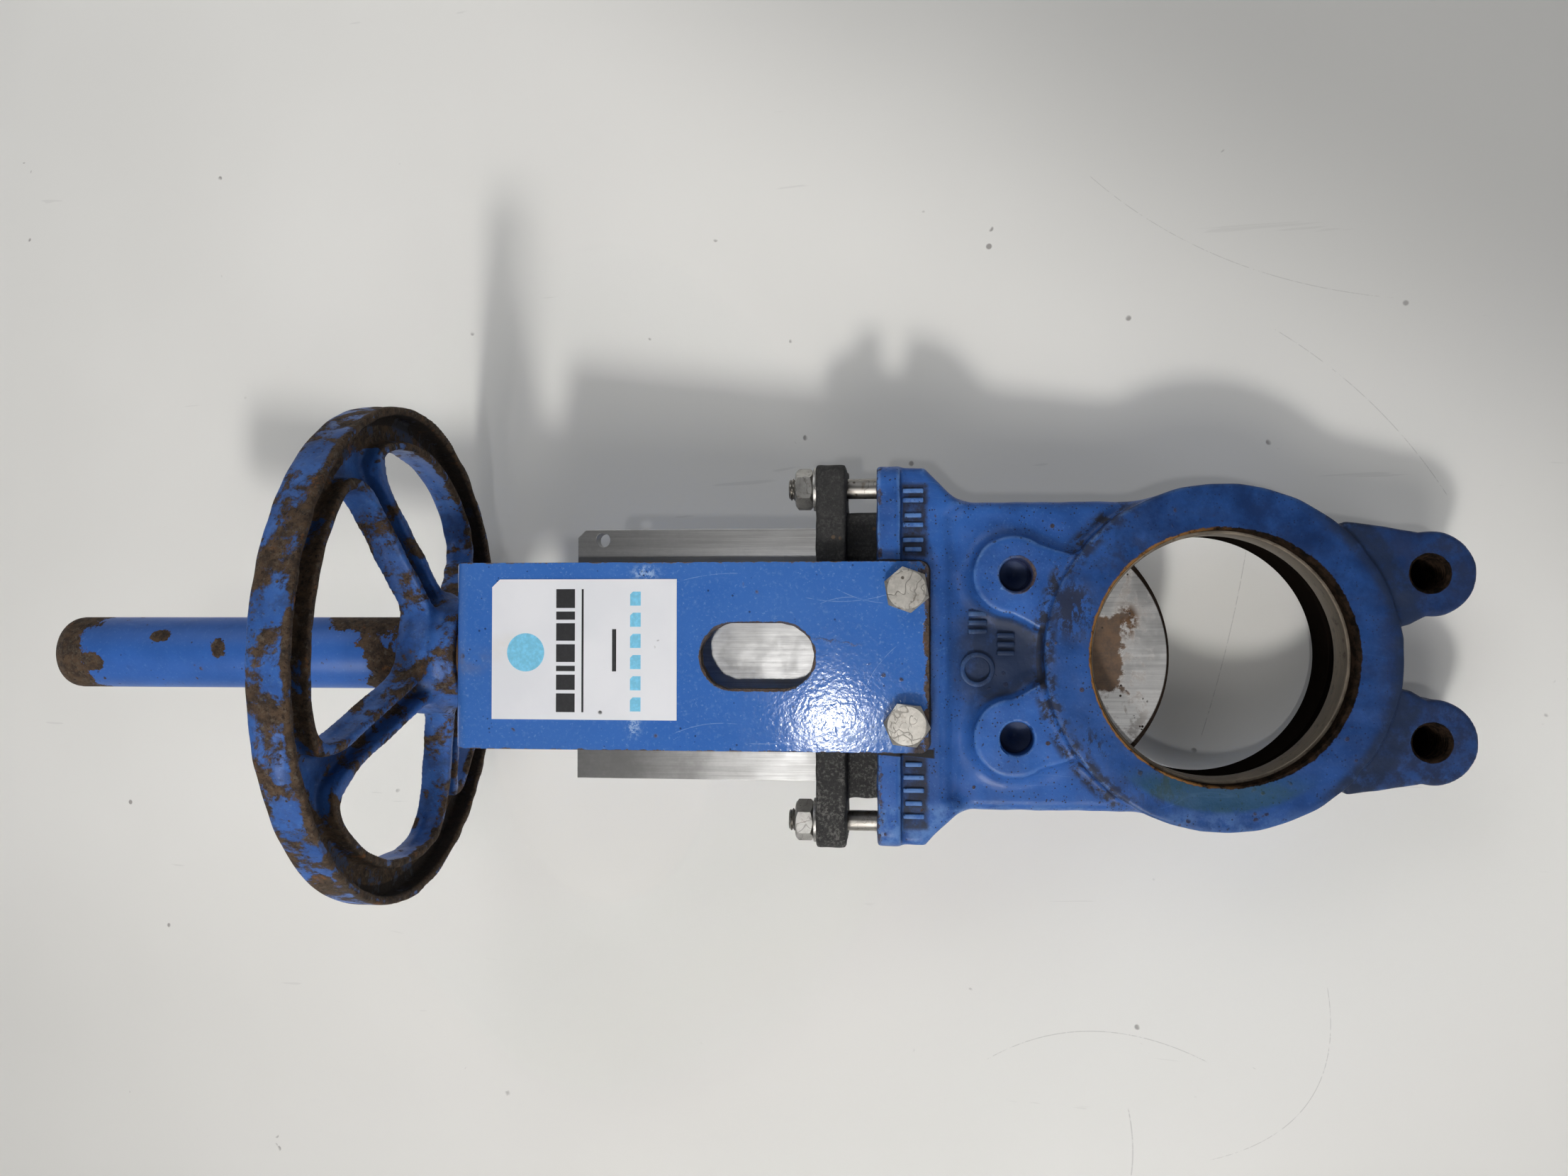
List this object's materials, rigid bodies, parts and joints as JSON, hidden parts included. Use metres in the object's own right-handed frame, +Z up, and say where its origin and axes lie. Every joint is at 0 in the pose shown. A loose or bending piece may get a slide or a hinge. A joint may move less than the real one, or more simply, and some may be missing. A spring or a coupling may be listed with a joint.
{
  "type": "knife gate valve",
  "caption": "Wafer knife gate valve with a lugged body, gland, bent-plate yoke, sliding gate and a handwheel that lifts the stem inside a protector tube.",
  "frame": {"origin": "centre of the flow bore, halfway between the two pipe faces", "axes": "+Z up the stem towards the handwheel, +Y along the flow from the seat side to the gate's rear side, +X across the gate"},
  "size_m": [0.225, 0.225, 0.6236],
  "materials": {
    "blue_casting": "thick epoxy paint on rough cast iron, chipped and grimy at the edges",
    "blue_plate": "smooth epoxy paint on bent steel plate, rust at the cut edges",
    "blue_wheel": "epoxy paint on a cast wheel, about half of it worn off to brown rust",
    "blue_tube": "smooth epoxy paint with rust patches",
    "black_iron": "rough black paint on cast iron",
    "stainless_fastener": "bright rolled stainless steel",
    "gate_steel": "stainless plate, brushed along its length",
    "stem_steel": "turned stainless steel",
    "clevis_steel": "sawn and drilled stainless steel",
    "bronze": "turned bronze",
    "rusty_steel": "bare steel with brown rust",
    "seat_rubber": "black moulded rubber",
    "packing": "braided packing with graphite",
    "label_film": "printed adhesive film",
    "black_plug": "dark plug, dulled and rusty"
  },
  "bodies": {
    "valve_frame": {"valve_body": "blue_casting", "seat_retainer_ring": "bronze", "resilient_seat": "seat_rubber", "packing_ring_lower": "packing", "packing_ring_middle": "packing", "packing_ring_upper": "packing", "gland_follower": "black_iron", "gland_studs": "stainless_fastener", "gland_washers": "stainless_fastener", "gland_nuts": "stainless_fastener", "yoke": "blue_plate", "yoke_bolts_front": "stainless_fastener", "yoke_bolts_rear": "stainless_fastener", "label_plate": "label_film"},
    "drive": {"stem_nut": "bronze", "thrust_washer_lower": "bronze", "thrust_washer_upper": "bronze", "handwheel": "blue_wheel", "wheel_key": "stem_steel", "lock_nut": "rusty_steel", "protector_tube": "blue_tube", "tube_cap": "black_plug"},
    "gate_and_stem": {"gate": "gate_steel", "stem": "stem_steel", "stem_clevis": "clevis_steel", "clevis_pin": "stem_steel", "clevis_bolts": "stainless_fastener", "clevis_nuts": "stainless_fastener"}
  },
  "joints": [
    {"name": "handwheel_turn", "type": "hinge", "parent": "valve_frame", "child": "drive", "pos_m": [0, 0, 0.34], "axis": [0, 0, 1], "range_deg": [-6534, 3366]},
    {"name": "gate_travel", "type": "slide", "parent": "valve_frame", "child": "gate_and_stem", "axis": [0, 0, 1], "range_m": [-0.0727, 0.0375]}
  ],
  "couplings": [
    {"joint": "gate_travel", "follows": "handwheel_turn", "m_per_rad": 0.00063662}
  ]
}
